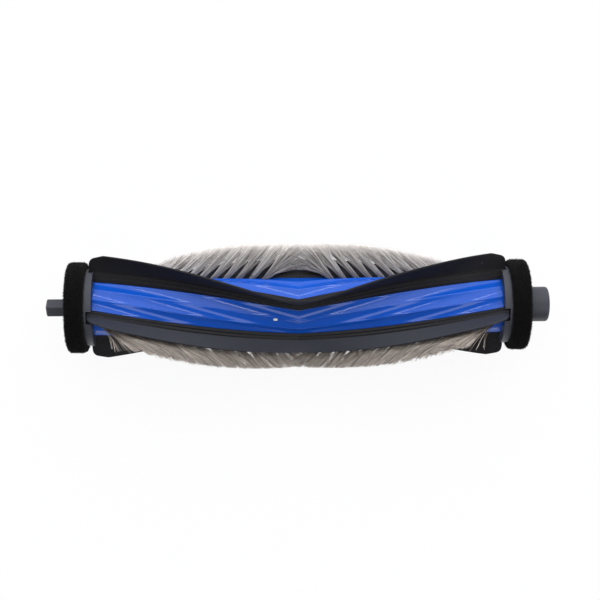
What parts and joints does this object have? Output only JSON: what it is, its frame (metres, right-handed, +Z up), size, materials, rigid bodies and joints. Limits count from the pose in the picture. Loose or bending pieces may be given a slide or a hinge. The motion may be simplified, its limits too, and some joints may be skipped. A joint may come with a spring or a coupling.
{
  "type": "robot vacuum roller brush",
  "caption": "Long chevron roller with a twisted faceted core, rubber blades, slanted bristle tufts, pile rings, a square drive stub and a free-turning bearing cap.",
  "frame": {"origin": "on the roller's axis at mid length", "axes": "+X along the axis from the drive stub to the bearing cap, +Z up with the roller lying on a floor"},
  "size_m": [0.19, 0.0476, 0.0408],
  "materials": {
    "core_blue": "glossy moulded",
    "blade_black": "satin moulded rubber",
    "blade_slate": "satin moulded rubber",
    "bristle_grey": "nylon fibre",
    "pile_black": "cut pile",
    "cap_grey": "fine spark texture",
    "steel": "ground",
    "bush_bronze": "sintered",
    "washer_white": "natural nylon"
  },
  "bodies": {
    "roller": {"roller_core": "core_blue", "tall_blade_1": "blade_black", "tall_blade_2": "blade_black", "short_blade_1": "blade_slate", "short_blade_2": "blade_slate", "bristle_row_1_left": "bristle_grey", "bristle_row_1_right": "bristle_grey", "bristle_row_2_left": "bristle_grey", "bristle_row_2_right": "bristle_grey", "tuft_anchors_row_1": "steel", "tuft_anchors_row_2": "steel", "drive_end_cap": "cap_grey", "drive_pile_ring": "pile_black", "bearing_end_cap": "cap_grey", "bearing_pile_ring": "pile_black", "axle_pin": "steel", "thrust_washer": "washer_white", "retaining_clip": "steel"},
    "bearing": {"bearing_cap": "cap_grey", "bearing_bush": "bush_bronze"}
  },
  "joints": [
    {"name": "bearing_spin", "type": "hinge", "parent": "roller", "child": "bearing", "pos_m": [0.088, 0, 0], "axis": [1, 0, 0], "continuous": true}
  ]
}
